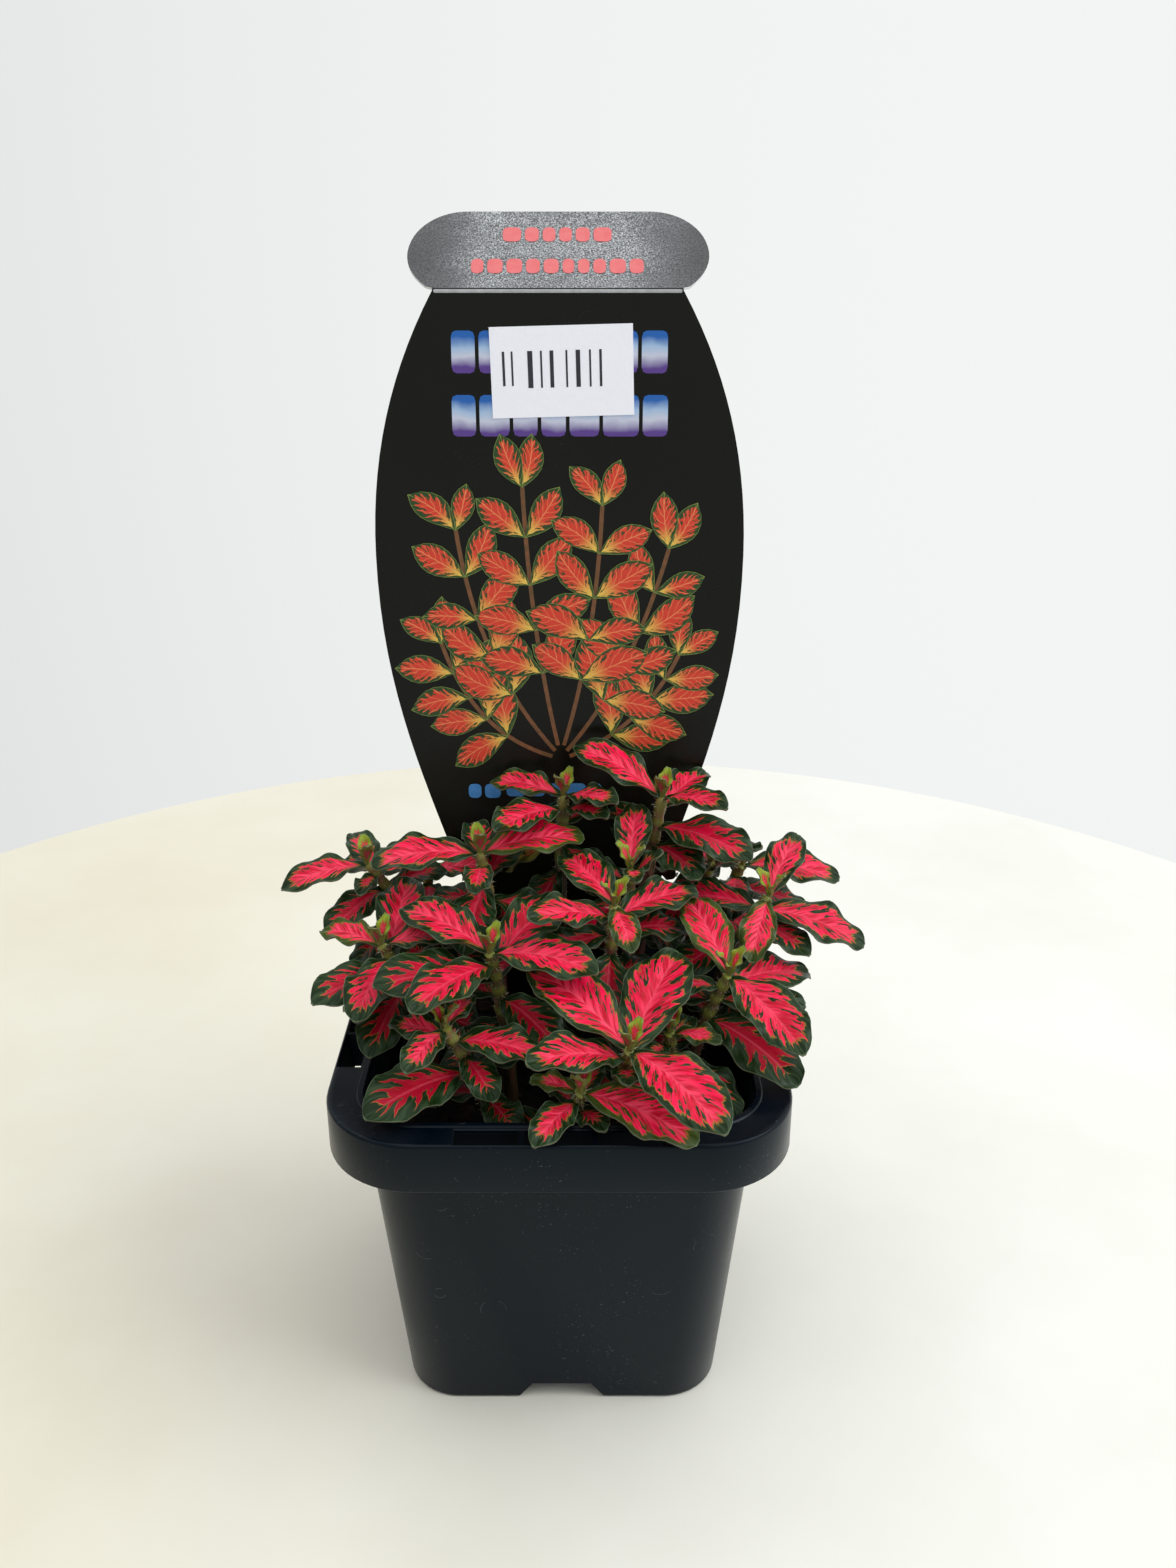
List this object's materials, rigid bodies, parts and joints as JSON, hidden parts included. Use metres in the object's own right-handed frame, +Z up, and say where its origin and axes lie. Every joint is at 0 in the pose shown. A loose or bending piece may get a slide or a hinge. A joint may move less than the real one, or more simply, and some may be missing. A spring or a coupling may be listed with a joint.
{
  "type": "potted nerve plant",
  "caption": "Small square nursery pot of pink-veined nerve plant with waved oval leaves on upright stems, its soil, an upright care tag and a price sticker.",
  "frame": {"origin": "middle of the pot's flat foot, on the surface it stands on", "axes": "+Z up; -Y towards the side seen first, with the tag behind the plant; +X to the right"},
  "size_m": [0.0952, 0.0859, 0.1793],
  "materials": {
    "pot": "satin",
    "soil": "matte",
    "leafy_stem": "satin",
    "tag": "satin",
    "price_sticker": "matte"
  },
  "bodies": {
    "root": {"leafy_stem_back_left_corner": "leafy_stem", "leafy_stem_back_middle": "leafy_stem", "leafy_stem_back_right": "leafy_stem", "leafy_stem_back_right_corner": "leafy_stem", "leafy_stem_far_left": "leafy_stem", "leafy_stem_front": "leafy_stem", "leafy_stem_front_edge": "leafy_stem", "leafy_stem_front_left": "leafy_stem", "leafy_stem_front_right_small": "leafy_stem", "leafy_stem_left": "leafy_stem", "leafy_stem_left_back": "leafy_stem", "leafy_stem_left_middle": "leafy_stem", "leafy_stem_middle": "leafy_stem", "leafy_stem_middle_back": "leafy_stem", "leafy_stem_right": "leafy_stem", "leafy_stem_right_back": "leafy_stem", "leafy_stem_right_front": "leafy_stem", "pot": "pot", "price_sticker": "price_sticker", "soil": "soil", "tag": "tag"}
  },
  "joints": []
}
